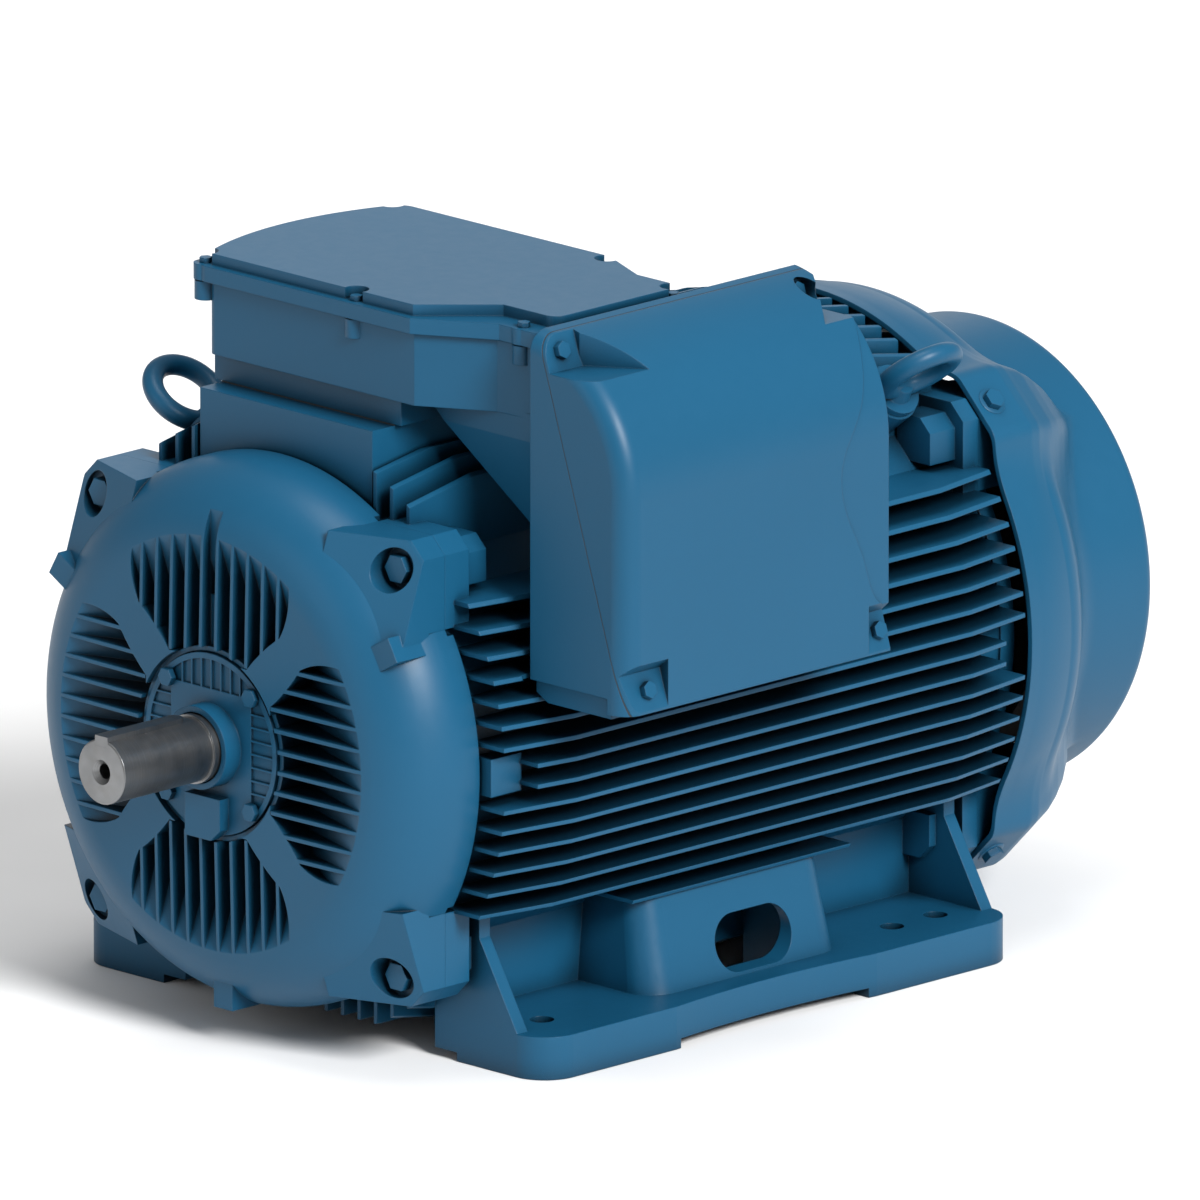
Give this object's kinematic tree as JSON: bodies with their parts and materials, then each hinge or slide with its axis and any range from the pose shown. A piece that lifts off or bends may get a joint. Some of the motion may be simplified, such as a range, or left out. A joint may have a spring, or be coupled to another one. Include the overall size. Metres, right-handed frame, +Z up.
{
  "type": "electric motor",
  "caption": "Foot-mounted cage induction motor with finned iron frame, domed end shield, side terminal box, lifting eyes, fan cover and keyed shaft.",
  "frame": {"origin": "centre of the rectangle of foot holes, on the plane that the feet stand on", "axes": "+Z up; the shaft lies along Y at 355 mm above the feet, its driving end towards -Y and the fan towards +Y; the terminal box is on the +X side"},
  "size_m": [0.8758, 1.4146, 0.872],
  "materials": {
    "housing_paint": "semi-gloss mid-blue enamel over cast iron",
    "bare_casting": "unpainted grey iron with machined rims",
    "machined_steel": "ground and turned carbon steel",
    "bearing_steel": "polished hardened steel",
    "cage_brass": "machined brass",
    "zinc_steel": "zinc-plated fasteners",
    "core_steel": "stacked electrical sheet, edges blued",
    "cast_aluminium": "die-cast aluminium, as cast",
    "winding_enamel": "enamelled copper wire under varnish",
    "black_rubber": "matt black rubber",
    "fan_plastic": "moulded black polypropylene",
    "board_plastic": "moulded brown thermoset",
    "lead_sleeve": "silicone-rubber lead sleeving",
    "plate_metal": "brushed stainless steel, blank"
  },
  "bodies": {
    "root": {"stator_frame": "housing_paint", "eyebolts": "housing_paint", "endshield_de": "housing_paint", "endshield_nde": "housing_paint", "bearing_cap_outer_de": "housing_paint", "bearing_cap_outer_nde": "housing_paint", "fan_cover": "housing_paint", "adaptor_housing": "housing_paint", "adaptor_cover": "housing_paint", "adaptor_cover_bolts": "housing_paint", "terminal_box_base": "housing_paint", "terminal_box_lid": "housing_paint", "terminal_lid_bolts": "housing_paint", "endshield_bolts_de": "housing_paint", "endshield_bolts_nde": "housing_paint", "bearing_cap_bolts_de": "housing_paint", "fan_cover_bolts": "housing_paint", "drain_plugs": "housing_paint", "gland_plate": "housing_paint", "bearing_cap_inner_de": "bare_casting", "bearing_cap_inner_nde": "bare_casting", "bearing_outer_ring_de": "bearing_steel", "bearing_outer_ring_nde": "bearing_steel", "preload_spring": "bearing_steel", "terminal_studs": "cage_brass", "terminal_nuts": "cage_brass", "terminal_links": "cage_brass", "adaptor_bolts": "zinc_steel", "terminal_box_bolts": "zinc_steel", "bearing_cap_bolts_nde": "zinc_steel", "earth_screw": "zinc_steel", "stator_core": "core_steel", "stator_winding": "winding_enamel", "adaptor_gasket": "black_rubber", "adaptor_cover_gasket": "black_rubber", "terminal_box_gasket": "black_rubber", "entry_plugs": "fan_plastic", "terminal_board": "board_plastic", "phase_leads": "lead_sleeve", "rating_plate": "plate_metal", "plate_rivets": "plate_metal"},
    "rotor": {"shaft": "machined_steel", "shaft_key": "machined_steel", "fan_key": "machined_steel", "bearing_inner_ring_de": "bearing_steel", "bearing_inner_ring_nde": "bearing_steel", "seal_ring_de": "black_rubber", "seal_ring_nde": "black_rubber", "rotor_core": "core_steel", "rotor_cage": "cast_aluminium", "fan": "fan_plastic", "fan_retaining_ring": "machined_steel"},
    "ball_set_de": {"bearing_balls_de": "bearing_steel", "bearing_cage_de": "cage_brass"},
    "ball_set_nde": {"bearing_balls_nde": "bearing_steel", "bearing_cage_nde": "cage_brass"}
  },
  "joints": [
    {"name": "rotor_spin", "type": "hinge", "parent": "root", "child": "rotor", "pos_m": [0, 0, 0.355], "axis": [0, 1, 0], "continuous": true},
    {"name": "ball_set_de_spin", "type": "hinge", "parent": "root", "child": "ball_set_de", "pos_m": [0, 0, 0.355], "axis": [0, 1, 0], "continuous": true},
    {"name": "ball_set_nde_spin", "type": "hinge", "parent": "root", "child": "ball_set_nde", "pos_m": [0, 0, 0.355], "axis": [0, 1, 0], "continuous": true}
  ],
  "couplings": [
    {"joint": "ball_set_de_spin", "follows": "rotor_spin", "ratio": 0.3856},
    {"joint": "ball_set_nde_spin", "follows": "rotor_spin", "ratio": 0.3845}
  ]
}
